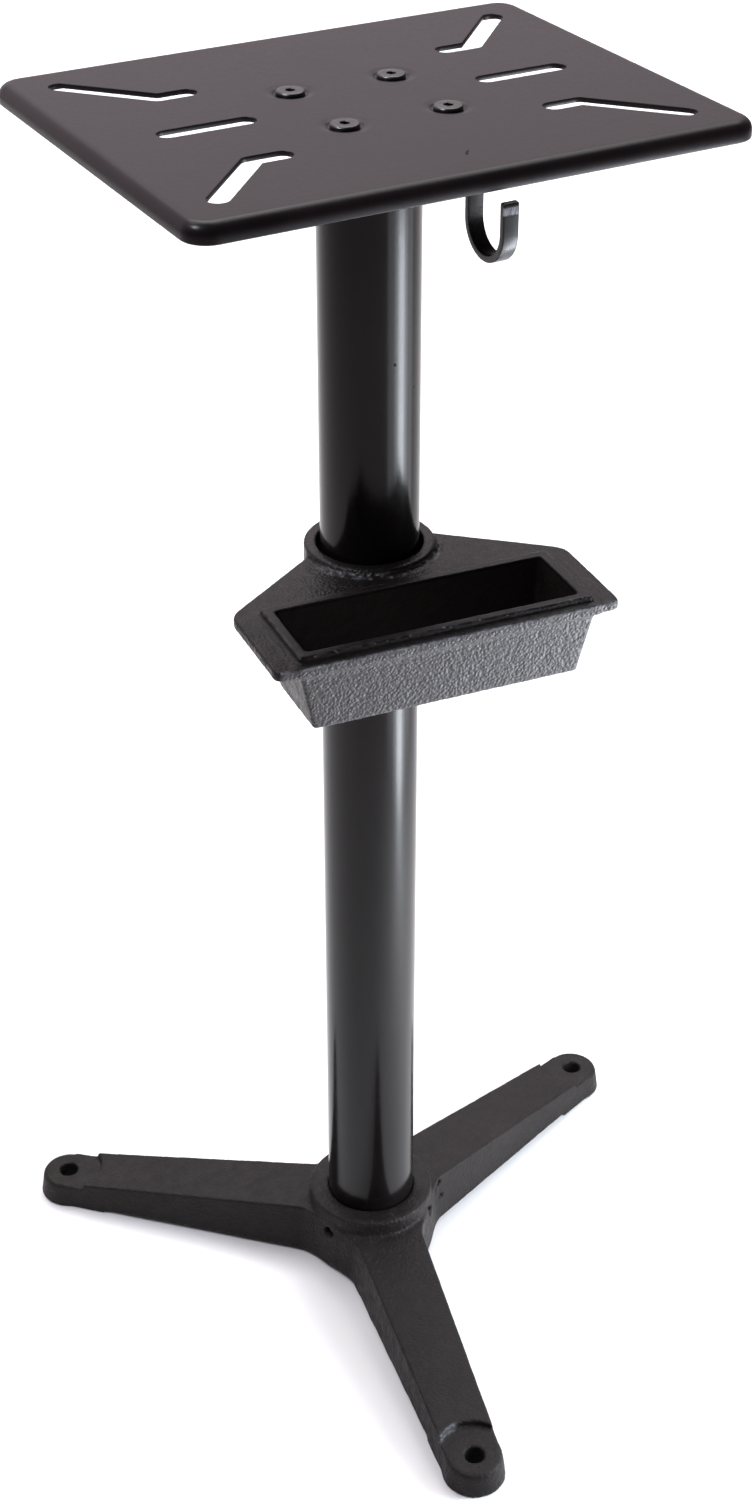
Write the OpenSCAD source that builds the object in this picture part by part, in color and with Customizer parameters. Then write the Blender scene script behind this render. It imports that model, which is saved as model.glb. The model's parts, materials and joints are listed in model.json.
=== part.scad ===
// Bench grinder pedestal stand: a pressed steel plate on a tubular column, held in a three-legged
// cast base, with a cast tray that slides on the column and a tool hook under the plate.
// Origin: floor level on the column axis. +Z is up, X runs along the long side of the plate and
// the tray hangs on the -Y side, which is the front.

/* [Overall] */
// Height of the top plate above the floor
stand_h = 842; // [760:1:960]
// Turn of the three-legged base on the column, 0 puts one leg straight to the front
base_turn = -11.7; // [-60:0.1:60]
// Turn of the tray on the column, 0 sets it square to the plate
tray_turn = -5.6; // [-20:0.1:20]

/* [Top plate] */
// Length of the plate
plate_l = 337; // [320:1:400]
// Width of the plate, front to back
plate_w = 264; // [250:1:300]
// Depth of the turned-down rim
plate_rim = 11; // [10:0.5:20]
// Thickness of the sheet
sheet_t = 3; // [2:0.5:4]
// Radius of the bend along the rim
bend_r = 7; // [5:0.5:8]
// Radius of the plate's corners in plan
corner_r = 15; // [12:1:30]
// Width of the slots
slot_w = 12.2; // [9:0.1:14]
// Spacing of the four plate screws
screw_pitch = 63.5; // [60:0.5:70]

/* [Column] */
// Outer diameter of the tube
column_d = 60.3; // [58:0.1:62]
// Wall of the tube
column_wall = 3.2; // [2.5:0.1:5]
// Thickness of the welded flange
flange_t = 6; // [5:0.5:10]

/* [Base] */
// Radius of the circle that the floor holes lie on
foot_hole_r = 230.5; // [210:0.5:260]
// Diameter of a floor hole
foot_hole_d = 13; // [10:0.5:14]
// Height of the hub
hub_h = 52.5; // [48:0.5:60]
// Outer diameter of the hub ring
hub_d = 87; // [84:0.5:92]
// Thickness of a foot pad
pad_t = 17.4; // [14:0.2:20]
// Depth of the column in the hub
socket_depth = 44; // [36:1:46]

/* [Tray] */
// Height of the top of the tray's collar above the floor
tray_z = 572; // [300:1:700]
// Outer diameter of the collar
collar_d = 79.8; // [78:0.2:88]
// Bore of the collar
collar_bore = 65.2; // [63:0.2:68]
// Width of the tray
tray_l = 215; // [200:1:240]

/* [Hook] */
// Width of the hook's strap
strap_w = 9.4; // [8:0.2:16]
// Thickness of the hook's strap
strap_t = 4; // [3:0.5:6]
// Radius of the hook's bend at the middle of the strap
hook_r = 17.5; // [14:0.5:22]

/* [Hidden] */
$fn = 64;
eps = 0.05;
fine_fn = 32;
fit_gap = 0.05;
free_gap = 0.3;

// Plate
plate_z = stand_h - sheet_t;
slot_out = [139.5, 101];
slot_bend = [99.7, 58.2];
slot_in_x = 82.4;
side_slot = [74.8, 120.3];
dimple_depth = 1.5;
dimple_r = 13.5;
dimple_floor_r = 9.5;
screw_d = 10;
screw_clear_d = 11;

// Column and its flange
column_r = column_d / 2;
column_foot = hub_h - socket_depth;
flange_top = plate_z - dimple_depth;
flange_z = flange_top - flange_t;
flange_side = screw_pitch + 25;
flange_corner_r = 11;
flange_eye_r = column_r - column_wall - 4;
weld_leg = 4;

// Plate screws, washers and nuts
head_r = 8.2;
head_top_r = 7.5;
head_h = 2.6;
head_rim = 1.8;
head_key = 5;
head_key_depth = 2.2;
screw_len = 25;
lock_r = 9;
lock_t = 2.5;
lock_bore = 10.4;
lock_split = 1;
nut_af = 16;
nut_t = 8;

// Base
leg_angles = [-90, 30, 150];
leg_top_hub = 44.6;
leg_slope = 0.11;
leg_lift = 3;
leg_foot_half = 19.6;
leg_root = 25;
leg_block = 80;
leg_taper = 2.4;
leg_draft = 6;
leg_wall = 6;
spot_r = 24.5;
pad_r = 20.8;
pad_top_r = 18.4;
pad_inner = 33;
hub_foot = 5;
flat_reach = 45.5;
flat_draft = 2.4;
core_r = 52;
core_top = 41;
ring_bevel = 1.5;
ledge_r = 24;

// Set screws
grub_r = 4;
grub_len = 10;
grub_key = 4;
grub_key_depth = 4;
grub_tip = 1;
grub_z = 34;

// Tray
shelf_t = 6;
shelf_back = -48.5;
shelf_front = -121;
collar_h = 42;
lip_h = 4;
shelf_z = tray_z - lip_h - shelf_t;
trough_depth = 49;
trough_z = tray_z - trough_depth;
trough_wall = 5;
trough_mid = -84.9;
mouth = [171, 50.2];
lip_edge = 6;
trough_foot = [167, 52.5];
trough_foot_mid = -89.5;
trough_top = [185, 64.2];
trough_top_mid = -86.9;
tray_grub_z = tray_z - 24;
tray_grub_len = 14;

// Hook
hook_x = 7.5;
hook_y = -101.2;
hook_drop = 33.7;
hook_mid_z = stand_h - hook_drop;
hook_tip = 17.6;
tip_nick = 1.2;
bead = 3;

module rounded_rect(l, w, r) {
    square([l - 2 * r, w], center = true);
    square([l, w - 2 * r], center = true);
    for (x = [-1, 1], y = [-1, 1])
        translate([x * (l / 2 - r), y * (w / 2 - r)]) circle(r = r);
}

// A slot between two points of the plate, with round ends
module slot(a, b, w) {
    run = b - a;
    translate(a) rotate(atan2(run[1], run[0])) {
        translate([0, -w / 2]) square([norm(run), w]);
        circle(d = w);
        translate([norm(run), 0]) circle(d = w);
    }
}

module at_screws(i) {
    p = screw_pitch / 2;
    corners = [[-p, -p], [p, -p], [p, p], [-p, p]];
    translate([corners[i][0], corners[i][1], 0]) children();
}

// Solid pan with a rounded top edge, from its rim at z = 0 up to h
module pan(l, w, r, bend, h) {
    arc = [for (a = [0:15:90]) [r - bend + bend * cos(a), h - bend + bend * sin(a)]];
    hull()
        for (x = [-1, 1], y = [-1, 1])
            translate([x * (l / 2 - r), y * (w / 2 - r), 0])
                rotate_extrude($fn = fine_fn) polygon(concat([[0, 0], [r, 0]], arc, [[0, h]]));
}

module plate_slots() {
    for (mx = [0, 1], my = [0, 1])
        mirror([mx, 0]) mirror([0, my]) {
            slot(slot_bend, slot_out, slot_w);
            slot([slot_in_x, slot_bend[1]], slot_bend, slot_w);
        }
    for (mx = [0, 1])
        mirror([mx, 0]) slot([side_slot[0], 0], [side_slot[1], 0], slot_w);
}

module top_plate() {
    inner_r = corner_r - sheet_t;
    color("#2b2627")
        difference() {
            union() {
                difference() {
                    translate([0, 0, stand_h - plate_rim])
                        pan(plate_l, plate_w, corner_r, bend_r, plate_rim);
                    translate([0, 0, stand_h - plate_rim - 1])
                        pan(plate_l - 2 * sheet_t, plate_w - 2 * sheet_t, inner_r,
                            bend_r - sheet_t, plate_rim - sheet_t + 1);
                }
                for (i = [0:3])
                    at_screws(i)
                        translate([0, 0, flange_top])
                            cylinder(h = dimple_depth + eps, r1 = dimple_floor_r + 1, r2 = dimple_r + 1);
            }
            translate([0, 0, plate_z - 1]) linear_extrude(sheet_t + 2) plate_slots();
            for (i = [0:3])
                at_screws(i) {
                    translate([0, 0, stand_h - dimple_depth])
                        cylinder(h = dimple_depth + eps, r1 = dimple_floor_r, r2 = dimple_r);
                    translate([0, 0, flange_top - 1]) cylinder(h = sheet_t + 2, d = screw_clear_d);
                }
        }
}

module column_tube() {
    color("#141314")
        translate([0, 0, column_foot])
            difference() {
                cylinder(h = flange_z - column_foot, r = column_r);
                translate([0, 0, -1])
                    cylinder(h = flange_z - column_foot + 2, r = column_r - column_wall);
            }
}

module column_flange() {
    color("#1b1a1b")
        difference() {
            translate([0, 0, flange_z])
                linear_extrude(flange_t) rounded_rect(flange_side, flange_side, flange_corner_r);
            for (i = [0:3])
                at_screws(i)
                    translate([0, 0, flange_z - 1]) cylinder(h = flange_t + 2, d = screw_clear_d);
            translate([0, 0, flange_z - 1])
                cylinder(h = flange_t + 2, r = flange_eye_r);
        }
}

module column_weld() {
    color("#1b1a1b")
        translate([0, 0, flange_z])
            rotate_extrude()
                polygon([[column_r, 0], [column_r + weld_leg, 0], [column_r, -weld_leg]]);
}

// Low head screw from the plate down through the flange
module plate_screw(i) {
    seat = stand_h - dimple_depth;
    color("#232122")
        at_screws(i)
            difference() {
                union() {
                    translate([0, 0, seat]) cylinder(h = head_rim, r = head_r);
                    translate([0, 0, seat + head_rim])
                        cylinder(h = head_h - head_rim, r1 = head_r, r2 = head_top_r);
                    translate([0, 0, seat - screw_len]) cylinder(h = screw_len + 1, d = screw_d);
                }
                translate([0, 0, seat + head_h - head_key_depth])
                    cylinder(h = head_key_depth + 1, d = head_key / cos(30), $fn = 6);
            }
}

module lock_washer(i) {
    color("#77767a")
        at_screws(i)
            translate([0, 0, flange_z - lock_t])
                difference() {
                    cylinder(h = lock_t, r = lock_r);
                    translate([0, 0, -1]) cylinder(h = lock_t + 2, d = lock_bore);
                    translate([0, -lock_split / 2, -1])
                        cube([lock_r + 1, lock_split, lock_t + 2]);
                }
}

module hex_nut(i) {
    color("#77767a")
        at_screws(i)
            translate([0, 0, flange_z - lock_t - nut_t])
                difference() {
                    cylinder(h = nut_t, d = nut_af / cos(30), $fn = 6);
                    translate([0, 0, -1]) cylinder(h = nut_t + 2, d = screw_d + 2 * fit_gap);
                }
}

// Half space outside one side face of a leg: the face leans in with height and the leg narrows
// toward the foot. inset moves the face in toward the middle of the leg.
module leg_side_cut(inset) {
    reach = 260;
    for (side = [0, 1])
        mirror([0, side, 0])
            translate([foot_hole_r, leg_foot_half - inset, leg_lift])
                rotate([0, 0, -leg_taper])
                    rotate([leg_draft, 0, 0])
                        translate([-reach, 0, -40]) cube([reach + 60, 60, 160]);
}

// Leg along +X from the hub to the foot pad
module leg_solid() {
    top = function (s) leg_top_hub - leg_slope * s;
    inner = foot_hole_r - pad_inner;
    difference() {
        rotate([90, 0, 0])
            translate([0, 0, -leg_block / 2])
                linear_extrude(leg_block)
                    polygon([
                        [leg_root, leg_lift], [inner - leg_lift, leg_lift], [inner, 0],
                        [foot_hole_r, 0], [foot_hole_r, top(foot_hole_r)], [leg_root, top(leg_root)]
                    ]);
        leg_side_cut(0);
    }
}

module leg_hollow() {
    top = function (s) leg_top_hub - leg_slope * s - leg_wall;
    inner = foot_hole_r - pad_inner - leg_wall;
    difference() {
        rotate([90, 0, 0])
            translate([0, 0, -leg_block / 2])
                linear_extrude(leg_block)
                    polygon([
                        [leg_root - 5, -1], [inner, -1], [inner - 2, top(inner)],
                        [leg_root - 5, top(leg_root)]
                    ]);
        leg_side_cut(leg_wall);
    }
}

// One hollow leg with the spot face over its foot pad
module leg() {
    difference() {
        leg_solid();
        translate([foot_hole_r, 0, pad_t]) cylinder(h = 20, r = spot_r);
        leg_hollow();
    }
}

// Column socket wall between the legs, with one flat face toward each gap
module hub_core() {
    difference() {
        translate([0, 0, hub_foot]) cylinder(h = core_top - hub_foot, r = core_r);
        for (a = leg_angles)
            rotate(a + 180)
                translate([flat_reach, -60, leg_lift])
                    rotate([0, -flat_draft, 0]) translate([0, 0, -20]) cube([40, 120, 90]);
    }
}

module base_casting() {
    color("#1f1d1d")
        rotate(base_turn)
            difference() {
                union() {
                    for (a = leg_angles) rotate(a) leg();
                    for (a = leg_angles)
                        rotate(a)
                            translate([foot_hole_r, 0, 0])
                                cylinder(h = pad_t, r1 = pad_r, r2 = pad_top_r);
                    hub_core();
                    rotate_extrude()
                        polygon([
                            [0, hub_foot], [hub_d / 2, hub_foot], [hub_d / 2, hub_h - ring_bevel],
                            [hub_d / 2 - ring_bevel, hub_h], [0, hub_h]
                        ]);
                }
                translate([0, 0, column_foot]) cylinder(h = hub_h, r = column_r + fit_gap);
                translate([0, 0, -1]) cylinder(h = hub_h, r = ledge_r);
                for (a = leg_angles) {
                    rotate(a)
                        translate([foot_hole_r, 0, -1]) cylinder(h = pad_t + 2, d = foot_hole_d);
                    rotate(a + 180)
                        translate([column_r - 4, 0, grub_z])
                            rotate([0, 90, 0]) cylinder(h = 30, r = grub_r + fit_gap);
                }
            }
}

// Hex socket set screw along +X, its tip at x = 0
module set_screw(len) {
    rotate([0, 90, 0])
        difference() {
            union() {
                cylinder(h = grub_tip, r1 = grub_r - grub_tip, r2 = grub_r);
                translate([0, 0, grub_tip]) cylinder(h = len - grub_tip, r = grub_r);
            }
            translate([0, 0, len - grub_key_depth])
                cylinder(h = grub_key_depth + 1, d = grub_key / cos(30), $fn = 6);
        }
}

module base_set_screw(i) {
    color("#2a292b")
        rotate(base_turn + leg_angles[i] + 180)
            translate([column_r + free_gap, 0, grub_z]) set_screw(grub_len);
}

module hook_strap() {
    color("#1a1a1d")
        translate([hook_x - strap_w / 2, hook_y - hook_r, hook_mid_z])
            difference() {
                union() {
                    translate([0, hook_r - strap_t / 2, 0])
                        cube([strap_w, strap_t, plate_z - hook_mid_z]);
                    translate([0, -hook_r - strap_t / 2, 0]) cube([strap_w, strap_t, hook_tip]);
                    rotate([90, 0, 90])
                        rotate_extrude(angle = -180)
                            translate([hook_r - strap_t / 2, 0]) square([strap_t, strap_w]);
                }
                translate([-1, -hook_r - strap_t / 2, hook_tip])
                    rotate([45, 0, 0]) cube([strap_w + 2, tip_nick, tip_nick], center = true);
            }
}

// Sloping side of the weld around a strap of this size, as an outline
module weld_slope(size) {
    half = size / 2;
    polygon([[-half - bead, 0], [half + bead, 0], [half, -bead], [-half, -bead]]);
}

module hook_weld() {
    color("#1a1a1d")
        translate([hook_x, hook_y, plate_z])
            difference() {
                intersection() {
                    rotate([90, 0, 90])
                        translate([0, 0, -strap_w]) linear_extrude(2 * strap_w) weld_slope(strap_t);
                    rotate([90, 0, 0])
                        translate([0, 0, -strap_w]) linear_extrude(2 * strap_w) weld_slope(strap_w);
                }
                translate([-strap_w / 2, -strap_t / 2, -bead - 1])
                    cube([strap_w, strap_t, bead + 2]);
            }
}

// Block with drafted sides between two rectangles that share a middle line in X
module drafted(low, low_mid, low_z, high, high_mid, high_z) {
    hull() {
        translate([-low[0] / 2, low_mid - low[1] / 2, low_z]) cube([low[0], low[1], eps]);
        translate([-high[0] / 2, high_mid - high[1] / 2, high_z - eps])
            cube([high[0], high[1], eps]);
    }
}

module shelf_outline() {
    half = tray_l / 2;
    polygon([
        [half, shelf_front], [half, shelf_back], [collar_d / 2 - 0.5, 2], [-collar_d / 2 + 0.5, 2],
        [-half, shelf_back], [-half, shelf_front]
    ]);
}

module tray_casting() {
    shelf_top = shelf_z + shelf_t;
    lip = [mouth[0] + 2 * lip_edge, mouth[1] + 2 * lip_edge];
    floor_size = [trough_foot[0] - 2 * trough_wall, trough_foot[1] - 2 * trough_wall];
    color("#232222")
        rotate(tray_turn)
            difference() {
                union() {
                    translate([0, 0, shelf_z]) linear_extrude(shelf_t) shelf_outline();
                    translate([0, 0, tray_z - collar_h]) cylinder(h = collar_h, d = collar_d);
                    drafted(trough_foot, trough_foot_mid, trough_z,
                            trough_top, trough_top_mid, shelf_z + 1);
                    drafted([lip[0] + 2, lip[1] + 2], trough_mid, shelf_top - 1,
                            lip, trough_mid, tray_z);
                }
                translate([0, 0, tray_z - collar_h - 1]) cylinder(h = collar_h + 2, d = collar_bore);
                drafted(floor_size, trough_foot_mid, trough_z + trough_wall,
                        mouth, trough_mid, tray_z + 1);
                translate([0, collar_bore / 2 - 2, tray_grub_z])
                    rotate([-90, 0, 0]) cylinder(h = 20, r = grub_r + fit_gap);
            }
}

module tray_set_screw() {
    color("#2a292b")
        rotate(tray_turn + 90)
            translate([column_r + free_gap, 0, tray_grub_z]) set_screw(tray_grub_len);
}

base_casting();
base_set_screw(0);  // base_set_screw_1
base_set_screw(1);  // base_set_screw_2
base_set_screw(2);  // base_set_screw_3
column_tube();
column_flange();
column_weld();
top_plate();
plate_screw(0);  // plate_screw_1
plate_screw(1);  // plate_screw_2
plate_screw(2);  // plate_screw_3
plate_screw(3);  // plate_screw_4
lock_washer(0);  // lock_washer_1
lock_washer(1);  // lock_washer_2
lock_washer(2);  // lock_washer_3
lock_washer(3);  // lock_washer_4
hex_nut(0);  // hex_nut_1
hex_nut(1);  // hex_nut_2
hex_nut(2);  // hex_nut_3
hex_nut(3);  // hex_nut_4
hook_strap();
hook_weld();
tray_casting();
tray_set_screw();
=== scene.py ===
"""Looks of the grinder pedestal stand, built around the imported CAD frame."""

import json
import math

import bpy
import numpy as np
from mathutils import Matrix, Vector
from mathutils.geometry import delaunay_2d_cdt


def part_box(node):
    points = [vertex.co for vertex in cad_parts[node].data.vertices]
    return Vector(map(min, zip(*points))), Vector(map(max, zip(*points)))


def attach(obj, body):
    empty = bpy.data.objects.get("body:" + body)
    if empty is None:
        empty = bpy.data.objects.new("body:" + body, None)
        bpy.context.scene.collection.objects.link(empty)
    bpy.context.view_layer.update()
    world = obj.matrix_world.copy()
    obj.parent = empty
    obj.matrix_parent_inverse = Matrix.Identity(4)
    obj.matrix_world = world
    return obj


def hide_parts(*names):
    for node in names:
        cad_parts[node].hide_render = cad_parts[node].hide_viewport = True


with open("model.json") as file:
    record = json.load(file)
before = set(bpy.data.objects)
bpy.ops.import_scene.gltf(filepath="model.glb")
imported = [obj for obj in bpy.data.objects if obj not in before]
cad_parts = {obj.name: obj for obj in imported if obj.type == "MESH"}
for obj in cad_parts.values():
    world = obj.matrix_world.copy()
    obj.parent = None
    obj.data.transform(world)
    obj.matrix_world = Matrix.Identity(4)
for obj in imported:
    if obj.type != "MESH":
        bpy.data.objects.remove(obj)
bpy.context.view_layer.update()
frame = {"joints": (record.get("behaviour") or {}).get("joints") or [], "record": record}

MM = 0.001
RECORD = frame["record"]
JOINTS = {j["name"]: j for j in frame["joints"]}
MOUNTS = {m["name"]: m for m in RECORD["mounts"]}


def axis_angle(joint):
    """Heading of a joint's axis in the floor plane, in radians."""
    ax = JOINTS[joint]["axis"]
    return math.atan2(ax[1], ax[0])


def box_mm(node):
    """A node's lowest and highest corners in millimetres."""
    lo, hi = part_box(node)
    return np.array(lo) / MM, np.array(hi) / MM


def middle(node):
    """The middle of a node's box in millimetres."""
    return sum(box_mm(node)) / 2


# ---- sizes read from the frame, in mm
PLATE_LO, PLATE_HI = box_mm("top_plate")
TOP = PLATE_HI[2]
TUBE_LO, TUBE_HI = box_mm("column_tube")
TUBE_R = (TUBE_HI[0] - TUBE_LO[0]) / 2
TUBE_WALL = 3.2
BASE_LO, BASE_HI = box_mm("base_casting")
TRAY_LO, TRAY_HI = box_mm("tray_casting")
TRAY_TOP = TRAY_HI[2]
FLANGE_LO, FLANGE_HI = box_mm("column_flange")
HOOK_LO, HOOK_HI = box_mm("hook_strap")
STRAP_T = 4.0    # thickness of the hook's bar
HOOK_TIP = 17.6  # height of the hook's tip over the centre of its bend
HOOK_TIP_Z = HOOK_LO[2] + (HOOK_HI[1] - HOOK_LO[1]) / 2 + HOOK_TIP
FOOT_R = MOUNTS["floor_holes"]["dims"]["pcd_mm"] / 2
FOOT_HOLE_R = MOUNTS["floor_holes"]["dims"]["hole_r_mm"]
BASE_TURN = axis_angle("base_screw_1_travel") - math.pi / 2
TRAY_TURN = axis_angle("tray_screw_travel") - math.pi / 2


# ---- mesh helpers
def add_object(name, data):
    """A new object that holds data, linked to the scene."""
    obj = bpy.data.objects.new(name, data)
    bpy.context.scene.collection.objects.link(obj)
    return obj


def mesh_object(name, verts, faces, body, nodes, material, sharp=None, weights=None):
    """A smooth-shaded piece from vertices in mm; nodes are the CAD nodes it stands for."""
    mesh = bpy.data.meshes.new(name)
    pts = (np.asarray(verts, float) * MM).tolist()
    mesh.from_pydata(pts, [], [list(map(int, f)) for f in faces])
    mesh.validate()
    mesh.shade_smooth()
    if sharp is not None:
        mesh.set_sharp_from_angle(angle=math.radians(sharp))
    mesh.update()
    obj = add_object(name, mesh)
    mesh.materials.append(material)
    for key, value in (weights or {}).items():
        layer = mesh.attributes.new(key, "FLOAT", "POINT")
        layer.data.foreach_set("value", np.asarray(value, np.float32))
    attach(obj, body)
    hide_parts(*nodes)


class Shell:
    """Collects lofts and flat caps of one piece."""

    def __init__(self):
        self.v, self.f = [], []

    def loop(self, pts):
        start = len(self.v)
        self.v.extend([tuple(map(float, p)) for p in pts])
        return list(range(start, start + len(pts)))

    def bridge(self, a, b):
        n = len(a)
        for i in range(n):
            j = (i + 1) % n
            self.f.append((a[i], a[j], b[j], b[i]))

    def loft(self, loops):
        """Loops of equal length, each a list of points; returns the vertex ids of each loop."""
        ids = [self.loop(p) for p in loops]
        for a, b in zip(ids, ids[1:]):
            self.bridge(a, b)
        return ids

    def ring(self, loops):
        """A loft whose last loop joins the first, for a piece with a hole through it."""
        ids = [self.loop(p) for p in loops]
        for a, b in zip(ids, ids[1:] + ids[:1]):
            self.bridge(a, b)

    def disc(self, ids, flip=False):
        self.f.append(tuple(reversed(ids)) if flip else tuple(ids))

    def cap(self, outer, holes, up):
        """Flat cap between an outer loop and holes, all made of existing vertices."""
        edges, ids, base = [], [], 0
        for ring in (outer, *holes):
            n = len(ring)
            ids.extend(ring)
            edges.extend((base + i, base + (i + 1) % n) for i in range(n))
            base += n
        co = [Vector(self.v[i][:2]) for i in ids]
        out_v, _, out_f, back, _, _ = delaunay_2d_cdt(co, edges, [], 0, 1e-6)
        lookup = [ids[b[0]] for b in back]
        flat = np.array([tuple(v) for v in out_v])
        tris = np.array([tuple(f) for f in out_f])
        mid = flat[tris].mean(1)
        keep = inside(mid, np.array([self.v[i][:2] for i in outer]))
        for ring in holes:
            keep &= ~inside(mid, np.array([self.v[i][:2] for i in ring]))
        for tri in tris[keep]:
            p, q, r = flat[tri]
            left = (q[0] - p[0]) * (r[1] - p[1]) - (q[1] - p[1]) * (r[0] - p[0]) > 0
            g = [lookup[i] for i in tri]
            self.f.append(tuple(g if up == left else reversed(g)))


def inside(pts, ring):
    """Which points lie inside a closed 2D ring."""
    x, y = pts[:, 0], pts[:, 1]
    hit = np.zeros(len(pts), bool)
    for (ax, ay), (bx, by) in zip(ring, np.roll(ring, -1, 0)):
        if ay != by:
            hit ^= ((ay > y) != (by > y)) & (x < (bx - ax) * (y - ay) / (by - ay) + ax)
    return hit


def circle(r, z, n, cx=0.0, cy=0.0):
    a = np.arange(n) * 2 * math.pi / n
    return [(cx + r * math.cos(t), cy + r * math.sin(t), z) for t in a]


def hexagon_loop(flat_r, z, n, cx=0.0, cy=0.0):
    """n points along a regular hexagon with inner radius flat_r, corners included."""
    pts = []
    for k in range(n):
        t = k * 2 * math.pi / n
        off = (t % (math.pi / 3)) - math.pi / 6
        r = flat_r / math.cos(off)
        pts.append((cx + r * math.cos(t), cy + r * math.sin(t), z))
    return pts


def rounded_rect_loop(half_l, half_w, r, z, seg=10, cx=0.0, cy=0.0):
    pts = []
    for sx, sy, a0 in ((1, 1, 0), (-1, 1, 90), (-1, -1, 180), (1, -1, 270)):
        for k in range(seg + 1):
            a = math.radians(a0 + 90 * k / seg)
            pts.append((cx + sx * (half_l - r) + r * math.cos(a),
                        cy + sy * (half_w - r) + r * math.sin(a), z))
    return pts


def path_slot_loop(pts, r, z, seg=8):
    """Outline at distance r around a two or three point path, counter-clockwise."""
    p = [np.array(q, float) for q in pts]
    dirs = [(b - a) / np.linalg.norm(b - a) for a, b in zip(p, p[1:])]
    norms = [np.array((-d[1], d[0])) for d in dirs]

    def arc(c, a0, a1):
        return [(c[0] + r * math.cos(a), c[1] + r * math.sin(a), z)
                for a in np.linspace(a0, a1, seg + 1)]

    def ang(v):
        return math.atan2(v[1], v[0])

    bend = 0
    if len(p) == 3:
        bend = dirs[0][0] * dirs[1][1] - dirs[0][1] * dirs[1][0]
        mitre = (norms[0] + norms[1]) / (1 + norms[0] @ norms[1])
        swing = math.acos(np.clip(norms[0] @ norms[1], -1, 1))
    start, end = ang(-norms[0]), ang(-norms[-1])
    out = []
    if bend > 0:
        out += arc(p[1], start, start + swing)
    elif bend < 0:
        out.append((*(p[1] - mitre * r), z))
    out += arc(p[-1], end, end + math.pi)
    if bend > 0:
        out.append((*(p[1] + mitre * r), z))
    elif bend < 0:
        out += arc(p[1], ang(norms[1]), ang(norms[1]) + swing)
    out += arc(p[0], start + math.pi, start + 2 * math.pi)
    return out


# ---- cast surfaces from distance fields
RELAX = 2       # rounds that even out the quads
PROBE = 0.05    # step for the field's gradient, mm
MOVE_CAP = 0.6  # largest move of a vertex in one go, in grid steps


def smin(a, b, k):
    """The smaller of two fields, blended over a width k; a fillet."""
    h = np.maximum(k - np.abs(a - b), 0) / k
    return np.minimum(a, b) - h * h * k * 0.25


def smax(a, b, k):
    """The larger of two fields, blended over a width k; a rounded edge."""
    return -smin(-a, -b, k)


class Noise:
    """Smooth lattice noise between about -1 and 1, seeded."""

    def __init__(self, seed, size=64):
        self.g = np.random.RandomState(seed).uniform(-1, 1, (size,) * 3).astype(np.float32)
        self.n = size

    def __call__(self, x, y, z, cell):
        p = [np.asarray(c, np.float32) / cell + 1000.0 for c in (x, y, z)]
        i = [np.floor(c).astype(np.int32) for c in p]
        f = [c - q for c, q in zip(p, i)]
        f = [t * t * (3 - 2 * t) for t in f]
        total = 0
        for dx in (0, 1):
            wx = f[0] if dx else 1 - f[0]
            for dy in (0, 1):
                wy = f[1] if dy else 1 - f[1]
                for dz in (0, 1):
                    wz = f[2] if dz else 1 - f[2]
                    g = self.g[(i[0] + dx) % self.n, (i[1] + dy) % self.n, (i[2] + dz) % self.n]
                    total = total + wx * wy * wz * g
        return total


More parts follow.
